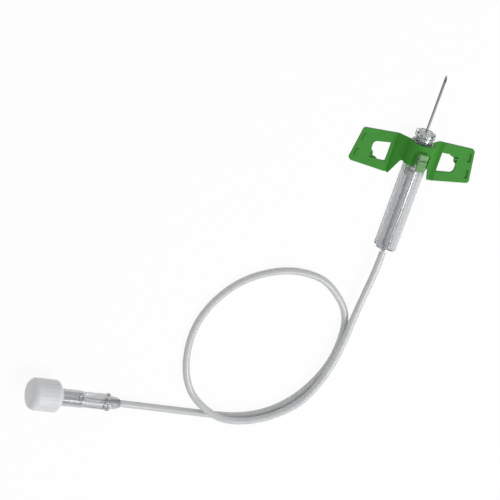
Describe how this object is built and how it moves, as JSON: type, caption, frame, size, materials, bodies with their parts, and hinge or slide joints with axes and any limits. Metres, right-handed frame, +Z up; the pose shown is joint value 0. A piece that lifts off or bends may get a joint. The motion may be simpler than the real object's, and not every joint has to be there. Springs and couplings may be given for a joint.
{
  "type": "butterfly needle",
  "caption": "Winged infusion needle with folding wings, a clear sheath that the needle draws back into, a loop of thin tube and a capped luer connector.",
  "frame": {"origin": "on the surface that it lies on, under the middle of the needle, sheath and wings", "axes": "+Y along the needle towards its tip, +X towards the right wing, +Z up"},
  "size_m": [0.1143, 0.131, 0.0108],
  "materials": {
    "green_plastic": "satin moulded polyethylene",
    "light_green_plastic": "satin moulded polyethylene",
    "clear_plastic": "clear glossy",
    "frosted_plastic": "milky, satin",
    "needle_steel": "polished",
    "adhesive": "clear glossy",
    "soft_tube": "soft clear vinyl",
    "cap_plastic": "milky white, satin"
  },
  "bodies": {
    "sheath_body": {"wing_saddle": "green_plastic", "sheath": "clear_plastic", "end_plug": "clear_plastic"},
    "left_wing": {"wing_left": "green_plastic"},
    "right_wing": {"wing_right": "green_plastic"},
    "button": {"release_button": "light_green_plastic"},
    "needle_carrier": {"hub": "frosted_plastic", "needle": "needle_steel", "adhesive": "adhesive", "tube": "soft_tube", "connector": "clear_plastic"},
    "connector_cap": {"cap": "cap_plastic"}
  },
  "joints": [
    {"name": "needle_retract", "type": "slide", "parent": "sheath_body", "child": "needle_carrier", "axis": [0, -1, 0], "range_m": [0, 0.022]},
    {"name": "left_wing_fold", "type": "hinge", "parent": "sheath_body", "child": "left_wing", "pos_m": [-0.007, 0.00125, 0.0004], "axis": [0, 1, 0], "range_deg": [0, 90]},
    {"name": "right_wing_fold", "type": "hinge", "parent": "sheath_body", "child": "right_wing", "pos_m": [0.007, 0.00125, 0.0004], "axis": [0, -1, 0], "range_deg": [0, 90]},
    {"name": "button_press", "type": "hinge", "parent": "sheath_body", "child": "button", "pos_m": [0, 0.00395, 0.00818], "axis": [1, 0, 0], "range_deg": [0, 6], "stiffness_Nm_per_rad": 0.01},
    {"name": "cap_pull", "type": "slide", "parent": "needle_carrier", "child": "connector_cap", "axis": [-0.9915, 0.0173, 0.1286], "range_m": [0, 0.012]}
  ]
}
